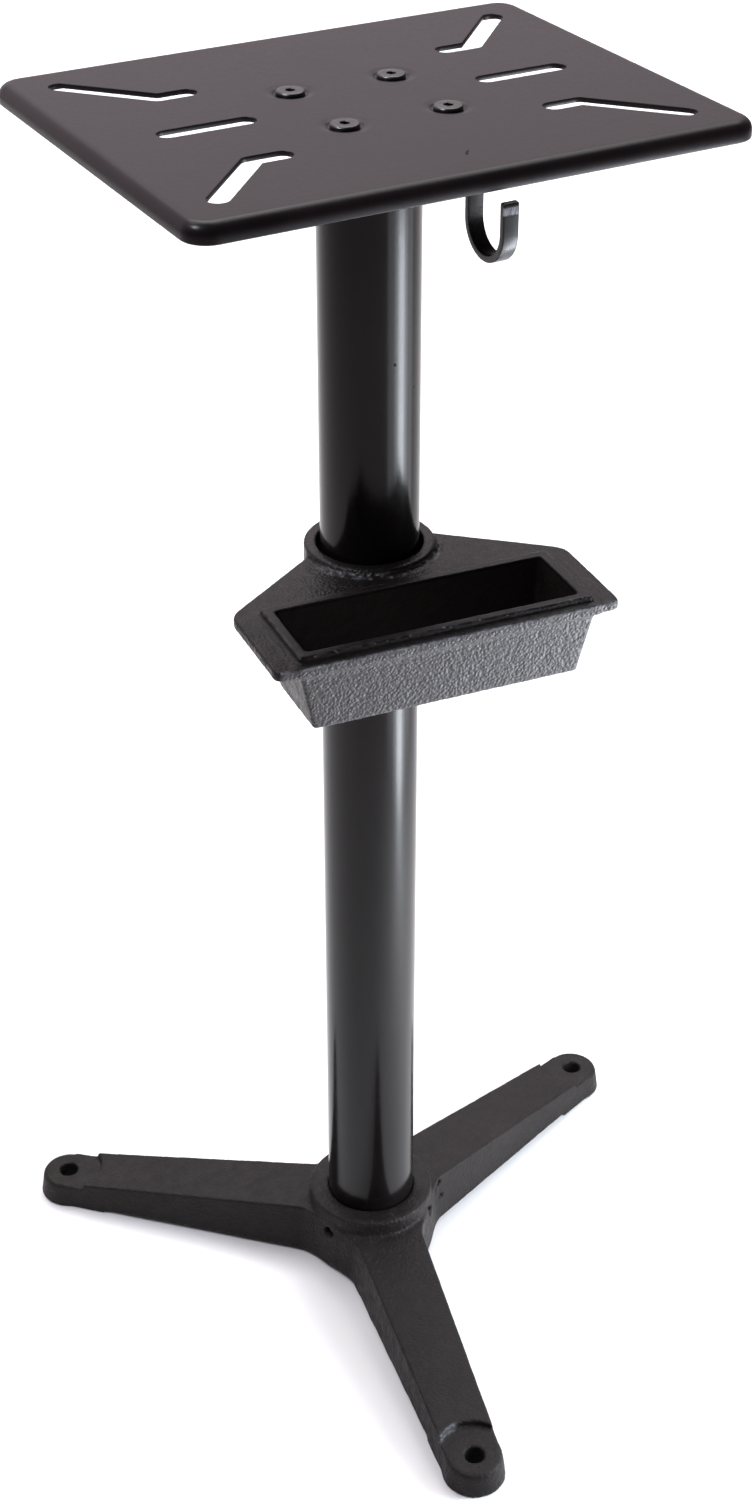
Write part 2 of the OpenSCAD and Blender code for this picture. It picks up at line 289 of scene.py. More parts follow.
def surface_net(field, lo, hi, step):
    """Quads on the zero level of field, evened out and projected back onto it."""
    ax = [np.arange(a - 2 * step, b + 3 * step, step, dtype=np.float32) for a, b in zip(lo, hi)]
    gx, gy, gz = np.meshgrid(*ax, indexing="ij")
    val = field(gx, gy, gz).astype(np.float32)
    ins = val < 0
    nx, ny, nz = val.shape
    count = np.zeros((nx - 1, ny - 1, nz - 1), np.uint8)
    corners = [(a, b, c) for a in (0, 1) for b in (0, 1) for c in (0, 1)]
    for a, b, c in corners:
        count += ins[a:nx - 1 + a, b:ny - 1 + b, c:nz - 1 + c]
    idx = np.argwhere((count > 0) & (count < 8))
    vals = {c: val[idx[:, 0] + c[0], idx[:, 1] + c[1], idx[:, 2] + c[2]] for c in corners}
    total = np.zeros((len(idx), 3))
    hits = np.zeros(len(idx))
    for c in corners:
        for d in range(3):
            if c[d] == 0:
                e = tuple(1 if i == d else c[i] for i in range(3))
                fa, fb = vals[c], vals[e]
                cross = (fa < 0) != (fb < 0)
                t = np.where(cross, fa / np.where(cross, fa - fb, 1), 0)
                pt = np.array(c, float)[None, :].repeat(len(idx), 0)
                pt[:, d] += t
                total += pt * cross[:, None]
                hits += cross
    start = np.array([a[0] for a in ax], float)
    verts = start + step * (idx + total / hits[:, None])
    ids = np.full(count.shape, -1, np.int32)
    ids[idx[:, 0], idx[:, 1], idx[:, 2]] = np.arange(len(idx))
    quads = []
    for d in range(3):
        u, w = (d + 1) % 3, (d + 2) % 3
        sl0 = [slice(1, -1)] * 3
        sl1 = [slice(1, -1)] * 3
        sl0[d], sl1[d] = slice(0, -1), slice(1, None)
        a0, a1 = ins[tuple(sl0)], ins[tuple(sl1)]
        e = np.argwhere(a0 != a1)
        first = a0[e[:, 0], e[:, 1], e[:, 2]]
        off = np.ones(3, int)
        off[d] = 0
        e = e + off
        ring = []
        for du, dw in ((-1, -1), (0, -1), (0, 0), (-1, 0)):
            q = e.copy()
            q[:, u] += du
            q[:, w] += dw
            ring.append(ids[q[:, 0], q[:, 1], q[:, 2]])
        ring = np.stack(ring, 1)
        ring[~first] = ring[~first][:, ::-1]
        quads.append(ring)
    quads = np.concatenate(quads)
    for r in range(RELAX + 1):
        if r:
            acc = np.zeros_like(verts)
            num = np.zeros(len(verts))
            for k in range(4):
                a, b = quads[:, k], quads[:, (k + 1) % 4]
                np.add.at(acc, a, verts[b])
                np.add.at(acc, b, verts[a])
                np.add.at(num, a, 1)
                np.add.at(num, b, 1)
            verts = 0.5 * verts + 0.5 * acc / num[:, None]
        for _ in range(3):
            f0 = field(*verts.T)
            ahead = [field(*(verts + PROBE * np.eye(3)[d]).T) - f0 for d in range(3)]
            grad = np.stack(ahead, 1) / PROBE
            size = np.maximum((grad ** 2).sum(1), 0.2)
            move = -f0[:, None] * grad / size[:, None]
            verts = verts + np.clip(move, -step * MOVE_CAP, step * MOVE_CAP)
    return verts, quads


# ---- materials
def new_material(name):
    mat = bpy.data.materials.new(name)
    mat.use_nodes = True
    nt = mat.node_tree
    bsdf = nt.nodes["Principled BSDF"]
    return mat, nt, bsdf


def coords(nt):
    """Object coordinates, which are the frame's own metres."""
    return nt.nodes.new("ShaderNodeTexCoord").outputs["Object"]


def noise_tex(nt, vec, scale, detail, rough):
    """Noise with scale in cycles per metre."""
    n = nt.nodes.new("ShaderNodeTexNoise")
    n.inputs["Scale"].default_value = scale
    n.inputs["Detail"].default_value = detail
    n.inputs["Roughness"].default_value = rough
    nt.links.new(vec, n.inputs["Vector"])
    return n.outputs["Fac"]


def ramp(nt, fac, stops):
    """Colour ramp through stops of (position, colour)."""
    r = nt.nodes.new("ShaderNodeValToRGB")
    els = r.color_ramp.elements
    while len(els) > 1:
        els.remove(els[-1])
    els[0].position, els[0].color = stops[0][0], stops[0][1]
    for pos, col in stops[1:]:
        e = els.new(pos)
        e.color = col
    nt.links.new(fac, r.inputs["Fac"])
    return r.outputs["Color"]


def map_range(nt, fac, a, b, c, d, smooth=False):
    """Clamped remap of a..b to c..d."""
    m = nt.nodes.new("ShaderNodeMapRange")
    if smooth:
        m.interpolation_type = "SMOOTHSTEP"
    for key, v in zip(("From Min", "From Max", "To Min", "To Max"), (a, b, c, d)):
        m.inputs[key].default_value = v
    nt.links.new(fac, m.inputs["Value"])
    return m.outputs["Result"]


def math_node(nt, op, a, b=None):
    m = nt.nodes.new("ShaderNodeMath")
    m.operation = op
    for i, v in enumerate((a, b)):
        if v is None:
            continue
        if isinstance(v, (int, float)):
            m.inputs[i].default_value = v
        else:
            nt.links.new(v, m.inputs[i])
    return m.outputs[0]


def mix_color(nt, fac, a, b):
    m = nt.nodes.new("ShaderNodeMix")
    m.data_type = "RGBA"
    nt.links.new(fac, m.inputs["Factor"])
    for sock, v in ((m.inputs[6], a), (m.inputs[7], b)):
        if isinstance(v, tuple):
            sock.default_value = v
        else:
            nt.links.new(v, sock)
    return m.outputs[2]


def bump_chain(nt, bsdf, layers):
    """layers: (height socket, strength, distance in metres), last one on top."""
    prev = None
    for height, strength, dist in layers:
        b = nt.nodes.new("ShaderNodeBump")
        b.inputs["Strength"].default_value = strength
        b.inputs["Distance"].default_value = dist
        nt.links.new(height, b.inputs["Height"])
        if prev is not None:
            nt.links.new(prev, b.inputs["Normal"])
        prev = b.outputs["Normal"]
    nt.links.new(prev, bsdf.inputs["Normal"])


def attribute(nt, name):
    node = nt.nodes.new("ShaderNodeAttribute")
    node.attribute_name = name
    return node.outputs["Fac"]


def marks_mask(nt, vec, marks):
    """1 inside small round marks, each given as x, y, z and radius in metres."""
    mask = None
    for x, y, z, radius in marks:
        away = nt.nodes.new("ShaderNodeVectorMath")
        away.operation = "DISTANCE"
        nt.links.new(vec, away.inputs[0])
        away.inputs[1].default_value = (x, y, z)
        one = map_range(nt, away.outputs["Value"], radius * 0.6, radius, 1.0, 0.0)
        mask = one if mask is None else math_node(nt, "MAXIMUM", mask, one)
    return mask


def grey(v, tint=(1.0, 1.0, 1.0)):
    return (v * tint[0], v * tint[1], v * tint[2], 1.0)


WARM = (1.20, 0.98, 0.93)
COOL = (0.95, 0.98, 1.08)
# tint of the painted sheen on the tray's front faces
PAINTED_SHEEN_TINT = (1.03, 0.98, 1.00)


def paint(name, low, high, rough_low, rough_high, peel, spec=0.5, tint=WARM, marks=()):
    """Enamel on smooth steel: colour and gloss variation, fine orange peel, small dull marks."""
    mat, nt, bsdf = new_material(name)
    vec = coords(nt)
    broad = noise_tex(nt, vec, 22.0, 3.0, 0.55)
    fine = noise_tex(nt, vec, 420.0, 2.0, 0.5)
    speck = noise_tex(nt, vec, 1500.0, 1.0, 0.5)
    col = ramp(nt, broad, [(0.3, grey(low, tint)), (0.7, grey(high, tint))])
    dust = ramp(nt, speck, [(0.70, grey(0.0)), (0.78, grey(1.0))])
    col = mix_color(nt, math_node(nt, "MULTIPLY", dust, 0.10), col, grey(high * 4, tint))
    mixed = math_node(nt, "ADD", math_node(nt, "MULTIPLY", broad, 0.6),
                      math_node(nt, "MULTIPLY", fine, 0.4))
    gloss = map_range(nt, mixed, 0.3, 0.7, rough_low, rough_high)
    if marks:
        mask = marks_mask(nt, vec, marks)
        col = mix_color(nt, mask, col, grey(low * 0.3, tint))
        gloss = math_node(nt, "ADD", gloss, math_node(nt, "MULTIPLY", mask, 0.6))
    nt.links.new(col, bsdf.inputs["Base Color"])
    nt.links.new(gloss, bsdf.inputs["Roughness"])
    bsdf.inputs["Specular IOR Level"].default_value = spec
    peel_h = noise_tex(nt, vec, 260.0, 1.5, 0.5)
    bump_chain(nt, bsdf, [(broad, 0.12, 0.0008), (peel_h, peel, 0.0004)])
    return mat


def cast(name, low, high, rough_low, rough_high, pebble, spec, masked=False):
    """Enamel over a sand-cast skin: pebbles, fine grit and worn high spots.

    A masked piece carries the weights pebble, face, inner and wear; face paints a sheen onto the
    tray's front faces, inner paints light into its cavity, and wear paints highlights and glints
    along its edges and collar bead. Any other piece carries only wear, its real scuffs.
    """
    mat, nt, bsdf = new_material(name)
    vec = coords(nt)
    broad = noise_tex(nt, vec, 14.0, 3.0, 0.6)
    mid = noise_tex(nt, vec, 130.0, 3.0, 0.6)
    grit = noise_tex(nt, vec, 900.0, 2.0, 0.6)
    vor = nt.nodes.new("ShaderNodeTexVoronoi")
    vor.feature = "SMOOTH_F1"
    vor.inputs["Scale"].default_value = 520.0
    vor.inputs["Smoothness"].default_value = 0.6
    nt.links.new(vec, vor.inputs["Vector"])
    lumps = map_range(nt, vor.outputs["Distance"], 0.0, 0.75, 1.0, 0.0)
    if masked:
        lumps = math_node(nt, "MULTIPLY", lumps, attribute(nt, "pebble"))
    col = ramp(nt, math_node(nt, "ADD", math_node(nt, "MULTIPLY", broad, 0.55),
                             math_node(nt, "MULTIPLY", mid, 0.45)),
               [(0.35, grey(low, WARM)), (0.65, grey(high, WARM))])
    worn = ramp(nt, math_node(nt, "MULTIPLY", grit, lumps), [(0.50, grey(0.0)), (0.62, grey(1.0))])
    col = mix_color(nt, math_node(nt, "MULTIPLY", worn, 0.30), col, grey(high * 4.0, COOL))
    gloss = map_range(nt, mid, 0.35, 0.65, rough_low, rough_high)
    if masked:
        # painted sheen: the tray's front faces turned a much lighter grey, as if lit from the front
        face = math_node(nt, "MULTIPLY", attribute(nt, "face"), 0.9)
        col = mix_color(nt, face, col, grey(high * 7.6, PAINTED_SHEEN_TINT))
        # painted light: the cavity's walls made lighter than the casting around them, standing in
        # for the soft reflections inside
        inner = attribute(nt, "inner")
        col = mix_color(nt, inner, col, grey(low * 5.0, WARM))
        gloss = math_node(nt, "SUBTRACT", gloss, math_node(nt, "MULTIPLY", inner, 0.10))
        # painted highlights and glints: the tray's edges and collar bead turned a light cool grey
        wear_and_highlight = math_node(nt, "MULTIPLY", attribute(nt, "wear_and_highlight"),
                         map_range(nt, grit, 0.35, 0.6, 0.35, 1.0))
        col = mix_color(nt, wear_and_highlight, col, grey(0.30, COOL))
        gloss = math_node(nt, "SUBTRACT", gloss, math_node(nt, "MULTIPLY", wear_and_highlight, 0.14))
    else:
        # the base's real scuffs: lighter bare metal
        col = mix_color(nt, attribute(nt, "wear_and_highlight"), col, grey(0.10, COOL))
    nt.links.new(col, bsdf.inputs["Base Color"])
    nt.links.new(gloss, bsdf.inputs["Roughness"])
    bsdf.inputs["Specular IOR Level"].default_value = spec
    bump_chain(nt, bsdf, [(broad, 0.25, 0.0010), (mid, 0.35, 0.0008),
                          (lumps, pebble, 0.0006), (grit, 0.25 * pebble, 0.0003)])
    return mat


def steel(name, low, high, rough_low, rough_high):
    """Bare or plated steel with a fine uneven finish."""
    mat, nt, bsdf = new_material(name)
    vec = coords(nt)
    broad = noise_tex(nt, vec, 180.0, 3.0, 0.6)
    fine = noise_tex(nt, vec, 1400.0, 2.0, 0.6)
    nt.links.new(ramp(nt, broad, [(0.3, grey(low)), (0.7, grey(high))]), bsdf.inputs["Base Color"])
    nt.links.new(map_range(nt, fine, 0.3, 0.7, rough_low, rough_high), bsdf.inputs["Roughness"])
    bsdf.inputs["Metallic"].default_value = 1.0
    bump_chain(nt, bsdf, [(broad, 0.10, 0.0003), (fine, 0.12, 0.0001)])
    return mat


def hook_material(tip_z, tip_y):
    """Semi-gloss bar with a scuffed bright band under the sheared tip."""
    mat, nt, bsdf = new_material("hook_enamel")
    vec = coords(nt)
    sep = nt.nodes.new("ShaderNodeSeparateXYZ")
    nt.links.new(vec, sep.inputs[0])
    broad = noise_tex(nt, vec, 90.0, 3.0, 0.6)
    streak_map = nt.nodes.new("ShaderNodeMapping")
    streak_map.inputs["Scale"].default_value = (1600.0, 160.0, 160.0)
    nt.links.new(vec, streak_map.inputs["Vector"])
    streak = noise_tex(nt, streak_map.outputs["Vector"], 1.0, 3.0, 0.65)
    col = ramp(nt, broad, [(0.3, grey(0.007)), (0.7, grey(0.012))])
    wob = math_node(nt, "MULTIPLY", math_node(nt, "SUBTRACT", streak, 0.5), 0.0022)
    z = math_node(nt, "ADD", sep.outputs["Z"], wob)
    band = math_node(nt, "MULTIPLY",
                     map_range(nt, z, tip_z - 0.0066, tip_z - 0.0060, 0.0, 1.0),
                     map_range(nt, z, tip_z - 0.0026, tip_z - 0.0020, 1.0, 0.0))
    front = map_range(nt, sep.outputs["Y"], tip_y + 0.0004, tip_y + 0.0012, 1.0, 0.0)
    mask = math_node(nt, "MULTIPLY", math_node(nt, "MULTIPLY", band, front),
                     map_range(nt, streak, 0.40, 0.58, 0.25, 1.0))
    nt.links.new(mix_color(nt, mask, col, grey(0.34, COOL)), bsdf.inputs["Base Color"])
    bsdf.inputs["Specular IOR Level"].default_value = 0.35
    nt.links.new(map_range(nt, broad, 0.3, 0.7, 0.24, 0.36), bsdf.inputs["Roughness"])
    bump_chain(nt, bsdf, [(broad, 0.15, 0.0006), (streak, 0.10, 0.0002)])
    return mat


MAT_PLATE = paint("plate_enamel", 0.0065, 0.0105, 0.28, 0.38, peel=0.08, spec=0.155,
                  tint=(1.28, 0.90, 1.02),
                  marks=[(0.0018, -0.1018, TOP * MM, 0.0011), (0.0030, -0.1003, TOP * MM, 0.0009),
                         (0.0042, -0.0992, TOP * MM, 0.0009), (0.0012, -0.1034, TOP * MM, 0.0010)])
MAT_TUBE = paint("tube_enamel", 0.0035, 0.0050, 0.15, 0.22, peel=0.04, spec=0.25,
                 marks=[(0.0002, -0.0301, 0.6970, 0.0013), (0.0151, -0.0261, 0.6787, 0.0009)])
MAT_CAST = cast("base_cast_enamel", 0.007, 0.012, 0.50, 0.66, pebble=0.60, spec=0.18)
MAT_TRAY = cast("tray_cast_enamel", 0.006, 0.010, 0.32, 0.46, pebble=0.8, spec=0.18,
                masked=True)
MAT_FLANGE = paint("flange_enamel", 0.008, 0.012, 0.30, 0.45, peel=0.12)
MAT_ZINC = steel("zinc_plate", 0.45, 0.60, 0.25, 0.40)
MAT_OXIDE = steel("black_oxide", 0.045, 0.085, 0.28, 0.38)
MAT_HOOK = hook_material(HOOK_TIP_Z * MM, HOOK_LO[1] * MM)


# ---- top plate
SHEET = 3.0
BEND = 7.0     # radius of the bend along the rim
CORNER = 15.0  # radius of the corners in plan
SLOT_R = MOUNTS["side_slots"]["dims"]["hole_r_mm"]
SLOT_MID = MOUNTS["side_slots"]["dims"]["spacing_x_mm"] / 2
SLOT_HALF = MOUNTS["side_slots"]["dims"]["slot_length_mm"] / 2 - SLOT_R
# middle line of the slot in the +X +Y corner
CORNER_SLOT = ((82.4, 58.2), (99.7, 58.2), (139.5, 101.0))
SCREW_AT = [middle(f"plate_screw_{i}")[:2] for i in (1, 2, 3, 4)]
DIMPLE = 1.5  # depth of the pressed seat under a screw head
SCREW_R = 5.0
SCREW_HOLE_R = 5.5


def build_plate():
    s = Shell()
    half_l = (PLATE_HI[0] - PLATE_LO[0]) / 2
    half_w = (PLATE_HI[1] - PLATE_LO[1]) / 2
    low = PLATE_LO[2]

    def bend(r, degrees):
        """Inset and height along the bend at radius r, from angles above the horizontal."""
        return [(BEND - r * math.cos(a), TOP - BEND + r * math.sin(a))
                for a in map(math.radians, degrees)]

    prof = [(BEND + 1.2, TOP), (BEND, TOP)] + bend(BEND, range(80, -1, -10))
    prof += [(0, low + 0.9), (0.2, low + 0.35), (0.75, low), (SHEET - 0.75, low),
             (SHEET - 0.2, low + 0.35), (SHEET, low + 0.9)]
    prof += bend(BEND - SHEET, range(0, 91, 15)) + [(BEND + 1.2, TOP - SHEET)]
    loops = [rounded_rect_loop(half_l - i, half_w - i, CORNER - i, z, seg=14) for i, z in prof]
    ids = s.loft(loops[::-1])
    outer_top, outer_bottom = ids[-1], ids[0]
    # outward step and height down a slot's wall
    edge = [(1.3, TOP), (0.55, TOP), (0.35, TOP - 0.05), (0.12, TOP - 0.22), (0, TOP - 0.55),
            (0, TOP - SHEET + 0.3), (0.15, TOP - SHEET + 0.05), (0.35, TOP - SHEET),
            (1.2, TOP - SHEET)]
    paths = []
    for sx in (-1, 1):
        paths.append([(sx * (SLOT_MID - SLOT_HALF), 0), (sx * (SLOT_MID + SLOT_HALF), 0)])
        for sy in (-1, 1):
            paths.append([(sx * q[0], sy * q[1]) for q in CORNER_SLOT])
    top_holes, bottom_holes = [], []
    for p in paths:
        ids = s.loft([path_slot_loop(p, SLOT_R + d, z) for d, z in edge])
        top_holes.append(ids[0])
        bottom_holes.append(ids[-1])
    # radius and depth under the top face, down into the dimple and back out along the underside
    dimple = [(15.6, 0), (14.9, 0), (14.0, 0.06), (13.0, 0.18), (12.0, 0.33), (11.1, 0.50),
              (10.5, 0.72), (9.9, 1.12), (9.5, 1.38), (9.1, DIMPLE), (6.2, DIMPLE), (5.75, 1.6),
              (SCREW_HOLE_R, 1.85), (SCREW_HOLE_R, 4.3), (5.8, 4.5), (8.2, 4.5), (9.4, 4.4),
              (10.6, 4.05), (12.0, 3.5), (13.2, 3.12), (14.2, SHEET), (15.2, SHEET)]
    for cx, cy in SCREW_AT:
        ids = s.loft([circle(r, TOP - d, 56, cx, cy) for r, d in dimple])
        top_holes.append(ids[0])
        bottom_holes.append(ids[-1])
    s.cap(outer_top, top_holes, up=True)
    s.cap(outer_bottom, bottom_holes, up=False)
    mesh_object("top_plate_pressed", s.v, s.f, "column", ["top_plate"],
                MAT_PLATE, sharp=50)


# ---- column
def build_tube():
    s = Shell()
    n = 128
    r_out, r_in = TUBE_R, TUBE_R - TUBE_WALL
    lo, hi = TUBE_LO[2], TUBE_HI[2]
    prof = [(r_in + 0.4, lo), (r_out - 0.5, lo), (r_out - 0.1, lo + 0.2), (r_out, lo + 0.6)]
    prof += [(r_out, z) for z in np.linspace(lo + 40, hi - 40, 9)]
    prof += [(r_out, hi - 0.5), (r_out - 0.4, hi), (r_in + 0.4, hi), (r_in, hi - 0.5),
             (r_in, lo + 0.5)]
    s.ring([circle(r, z, n) for r, z in prof])
    mesh_object("column_tube_enamelled", s.v, s.f, "column",
                ["column_tube"], MAT_TUBE, sharp=50)


FLANGE_CORNER = 11.0
EYE_LEDGE = 4.0  # how far the flange reaches in past the tube's bore


def build_flange():
    s = Shell()
    half = (FLANGE_HI[0] - FLANGE_LO[0]) / 2
    lo, hi = FLANGE_LO[2], FLANGE_HI[2]
    prof = [(1.6, hi), (0.6, hi), (0, hi - 0.6), (0, lo + 0.6), (0.6, lo), (1.6, lo)]
    outer = s.loft([rounded_rect_loop(half - i, half - i, FLANGE_CORNER - i, z, seg=8)
                    for i, z in reversed(prof)])
    tops, bottoms = [], []
    eye = TUBE_R - TUBE_WALL - EYE_LEDGE
    for cx, cy, r in [(0, 0, eye)] + [(c[0], c[1], SCREW_HOLE_R) for c in SCREW_AT]:
        ids = s.loft([circle(r + i, z, 48, cx, cy) for i, z in
                      ((1.0, hi), (0.3, hi), (0, hi - 0.3), (0, lo + 0.3), (0.3, lo), (1.0, lo))])
        tops.append(ids[0])
        bottoms.append(ids[-1])
    s.cap(outer[-1], tops, up=True)
    s.cap(outer[0], bottoms, up=False)
    mesh_object("column_flange_bevelled", s.v, s.f, "column",
                ["column_flange"], MAT_FLANGE, sharp=40)


COLUMN_BEAD = 4.0  # leg of the fillet weld round the tube
HOOK_BEAD = 2.8    # leg of the weld round the hook's bar
RIPPLE = 0.10      # share by which the bead swells at each ripple


def bead_ring(name, ring, node, leg, seed):
    """Weld bead along a closed ring of (point, outward) pairs under a flat face, with ripples."""
    s = Shell()
    rnd = np.random.RandomState(seed)
    n = len(ring)
    wob = 1 + 0.08 * np.convolve(rnd.uniform(-1, 1, n + 8), np.ones(5) / 2, "same")[4:n + 4]
    loops = []
    for i, (p, out) in enumerate(ring):
        k = wob[i] * (1 + RIPPLE * math.sin(i * math.pi * 0.5))
        sec = []
        for a in np.linspace(0, math.pi / 2, 7):
            bulge = leg * k * (0.80 + 0.14 * math.sin(2 * a))
            sec.append((p[0] + out[0] * bulge * math.cos(a), p[1] + out[1] * bulge * math.cos(a),
                        p[2] - bulge * math.sin(a)))
        sec.append((p[0] - out[0] * 0.6, p[1] - out[1] * 0.6, p[2] - leg * 0.7))
        sec.append((p[0] - out[0] * 0.6, p[1] - out[1] * 0.6, p[2]))
        loops.append(s.loop(sec))
    for a, b in zip(loops, loops[1:] + loops[:1]):
        s.bridge(b, a)
    mesh_object(name, s.v, s.f, "column", [node], MAT_FLANGE, sharp=60)


def build_welds():
    z = FLANGE_LO[2]
    ring = []
    n = 288
    for k in range(n):
        a = k * 2 * math.pi / n
        out = (math.cos(a), math.sin(a))
        ring.append(((TUBE_R * out[0], TUBE_R * out[1], z), out))
    bead_ring("column_weld_bead", ring, "column_weld", COLUMN_BEAD, seed=5)
    cx = middle("hook_strap")[0]
    hw = (HOOK_HI[0] - HOOK_LO[0]) / 2
    t = STRAP_T
    cy = HOOK_HI[1] - t / 2
    base = rounded_rect_loop(hw, t / 2, 1.2, TOP - SHEET, seg=4, cx=cx, cy=cy)
    outer = rounded_rect_loop(hw + 1, t / 2 + 1, 2.2, TOP - SHEET, seg=4, cx=cx, cy=cy)
    fine = []
    for i in range(len(base)):
        j = (i + 1) % len(base)
        length = math.dist(base[i], base[j])
        steps = max(1, int(length / 0.5))
        for k in range(steps):
            f = k / steps
            p = [base[i][m] * (1 - f) + base[j][m] * f for m in range(3)]
            q = [outer[i][m] * (1 - f) + outer[j][m] * f for m in range(3)]
            out = np.array([q[0] - p[0], q[1] - p[1]])
            fine.append((tuple(p), tuple(out / np.linalg.norm(out))))
    bead_ring("hook_weld_bead", fine, "hook_weld", HOOK_BEAD, seed=9)


# ---- fasteners
SCREW_PITCH = 1.5
PLATE_KEY, PLATE_KEY_DEPTH = 5.0, 2.2
SET_R, SET_PITCH = 3.97, 1.25
SET_KEY, SET_KEY_DEPTH = 4.0, 3.4
SET_LENGTH = {"tray": 14.0, "base": 10.0}
WASHER_R = (5.2, 9.0)
WASHER_GAP = 3.5  # degrees from the split to each end
NUT_FLAT = 8.0    # half the width across flats
NUT_BORE = 5.1


def thread_loops(r, depth, pitch, z0, z1, n, fade_in=1.2):
    """Rings of a helical thread from z0 up to z1, six to a turn, fading out at both ends."""
    loops = []
    for z in np.arange(z0, z1 + 1e-6, pitch / 6):
        fade = min(1.0, (z - z0) / fade_in, (z1 - z) / fade_in)
        ring = []
        for k in range(n):
            a = k * 2 * math.pi / n
            ph = (z / pitch - k / n) % 1.0
            tri = abs(ph * 2 - 1)
            rr = r - depth * (1 - tri) * max(fade, 0.0)
            ring.append((rr * math.cos(a), rr * math.sin(a), z))
        loops.append(ring)
    return loops


def shift(loops, cx, cy):
    return [[(x + cx, y + cy, z) for x, y, z in lp] for lp in loops]


def hex_socket(cx, cy, top_z, depth, key, n):
    """Loops from the top face down into a hex socket with a drilled bottom."""
    k = key / 2
    return [hexagon_loop(k + 0.3, top_z, n, cx, cy), hexagon_loop(k, top_z - 0.3, n, cx, cy),
            hexagon_loop(k, top_z - depth, n, cx, cy),
            circle(k * 0.9, top_z - depth - 0.05, n, cx, cy),
            circle(0.15, top_z - depth - 1.0, n, cx, cy)]


def build_plate_screws():
    for i, (cx, cy) in enumerate(SCREW_AT, 1):
        lo, hi = box_mm(f"plate_screw_{i}")
        seat, tip = TOP - DIMPLE, lo[2]
        r, top = (hi[0] - lo[0]) / 2, hi[2]
        n = 48
        s = Shell()
        loops = [circle(0.2, tip, n, cx, cy), circle(3.9, tip, n, cx, cy)]
        loops += shift(thread_loops(4.95, 0.75, SCREW_PITCH, tip + 0.9, tip + 13.0, n), cx, cy)
        loops += [circle(SCREW_R, tip + 13.6, n, cx, cy), circle(SCREW_R, seat - 0.2, n, cx, cy),
                  circle(5.2, seat, n, cx, cy)]
        rim = [(r - 0.3, seat), (r, seat + 0.3), (r, top - 0.95), (r - 0.12, top - 0.72),
               (r - 0.4, top - 0.38), (r - 0.7, top - 0.12), (r - 1.0, top - 0.04), (5.5, top),
               (3.6, top)]
        loops += [circle(q, z, n, cx, cy) for q, z in rim]
        loops += hex_socket(cx, cy, top, PLATE_KEY_DEPTH, PLATE_KEY, n)
        ids = s.loft(loops)
        s.disc(ids[0], flip=True)
        s.disc(ids[-1])
        mesh_object(f"plate_screw_{i}_low_head", s.v, s.f, "column",
                    [f"plate_screw_{i}"], MAT_OXIDE, sharp=32)


def build_washers():
    for i, (cx, cy) in enumerate(SCREW_AT, 1):
        lo, hi = box_mm(f"lock_washer_{i}")
        r_in, r_out = WASHER_R
        s = Shell()
        loops = []
        n = 72
        for k in range(n + 1):
            a = math.radians(WASHER_GAP + (360 - 2 * WASHER_GAP) * k / n)
            lift = 0.35 * (k / n - 0.5)
            zb, zt = lo[2] + 0.2 + max(lift, -0.18), hi[2] - 0.2 + min(lift, 0.18)
            sec = [(r_in, zb + 0.3), (r_in + 0.3, zb), (r_out - 0.3, zb), (r_out, zb + 0.3),
                   (r_out, zt - 0.3), (r_out - 0.3, zt), (r_in + 0.3, zt), (r_in, zt - 0.3)]
            loops.append([(cx + q * math.cos(a), cy + q * math.sin(a), z) for q, z in sec])
        ids = s.loft(loops)
        s.disc(ids[0])
        s.disc(ids[-1], flip=True)
        mesh_object(f"lock_washer_{i}_split", s.v, s.f, "column",
                    [f"lock_washer_{i}"], MAT_ZINC, sharp=35)


def build_nuts():
    for i, (cx, cy) in enumerate(SCREW_AT, 1):
        lo, hi = box_mm(f"hex_nut_{i}")
        n = 96
        s = Shell()

        def ring(z, cone):
            """A hexagon at height z, cut back to the radius of the chamfer's cone."""
            pts = []
            for x, y, _ in hexagon_loop(NUT_FLAT, z, n):
                r = math.hypot(x, y)
                f = min(1.0, cone / r)
                pts.append((cx + x * f, cy + y * f, z))
            return pts

        chamfer = ((0.0, 7.6), (0.12, 7.85), (0.3, 8.2), (0.5, 8.55), (0.7, 8.9), (0.9, 9.24))
        outer = [ring(lo[2] + d, c) for d, c in chamfer]
        outer += [ring(hi[2] - d, c) for d, c in reversed(chamfer)]
        bore = [circle(5.6, hi[2], n, cx, cy), circle(NUT_BORE, hi[2] - 0.6, n, cx, cy)]
        th = shift(thread_loops(NUT_BORE, 0.35, SCREW_PITCH, lo[2] + 0.6, hi[2] - 0.6, n), cx, cy)
        bore += th[::-1]
        bore += [circle(NUT_BORE, lo[2] + 0.55, n, cx, cy), circle(5.6, lo[2], n, cx, cy)]
        s.ring(outer + bore)
        mesh_object(f"hex_nut_{i}_chamfered", s.v, s.f, "column",
                    [f"hex_nut_{i}"], MAT_ZINC, sharp=28)


def build_set_screw(node, body, angle):
    """Set screw along a horizontal heading, hex socket outward and cup point inward."""
    d = np.array((math.cos(angle), math.sin(angle), 0.0))
    z = middle(node)[2]
    tip = TUBE_R + 0.3
    length = SET_LENGTH[node.split("_")[0]]
    n = 36
    loops = [circle(0.3, 0.9, n), circle(1.9, 0.05, n), circle(2.5, 0.0, n), circle(3.0, 0.3, n)]
    loops += thread_loops(SET_R, 0.6, SET_PITCH, 1.0, length - 0.5, n, fade_in=0.6)
    loops += [circle(3.5, length, n), circle(2.6, length, n)]
    loops += hex_socket(0, 0, length, SET_KEY_DEPTH, SET_KEY, n)
    side = np.array((-d[1], d[0], 0.0))
    up = np.array((0.0, 0.0, 1.0))
    out = []
    for lp in loops:
        out.append([tuple(d * (tip + q[2]) + side * q[0] + up * (z + q[1])) for q in lp])
    s = Shell()
    ids = s.loft(out)
    s.disc(ids[0], flip=True)
    s.disc(ids[-1])
    mesh_object(f"{node}_cup_point", s.v, s.f, body, [node], MAT_OXIDE,
                sharp=32)


# ---- hook
HOOK_EDGE = 0.7  # radius along the bar's edges


